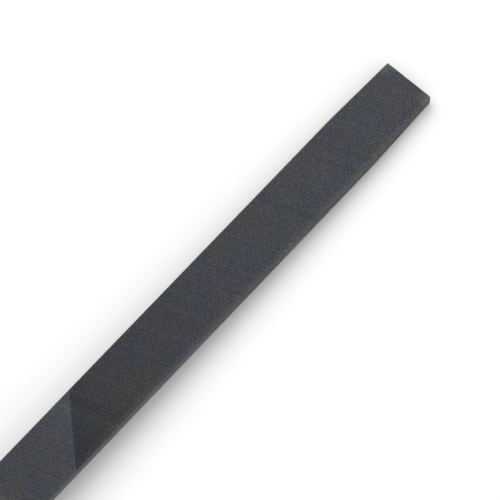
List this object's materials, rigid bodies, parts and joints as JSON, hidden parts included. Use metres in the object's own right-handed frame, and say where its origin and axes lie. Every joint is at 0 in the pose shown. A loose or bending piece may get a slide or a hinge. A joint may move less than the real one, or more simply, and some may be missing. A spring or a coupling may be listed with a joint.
{
  "type": "wood rasp",
  "caption": "Flat steel rasp with diagonal rows of teeth, a square tip and smooth edges, its tang set in a turned wooden handle behind a steel ferrule.",
  "frame": {"origin": "centre of the square end face at the blade's tip", "axes": "+X out of the tip along the blade's long axis, so the tool lies back along -X; +Y towards the blade's left narrow edge; +Z out of its upper toothed face"},
  "size_m": [0.383, 0.028, 0.028],
  "materials": {
    "hardened_steel": "dark blue-grey hardened steel, satin, with brighter tooth crests and edges",
    "plated_steel": "satin plated steel with fine turning lines",
    "handle_wood": "clear-lacquered turned hardwood"
  },
  "bodies": {
    "root": {"rasp_blade": "hardened_steel", "ferrule": "plated_steel", "handle": "handle_wood"}
  },
  "joints": []
}
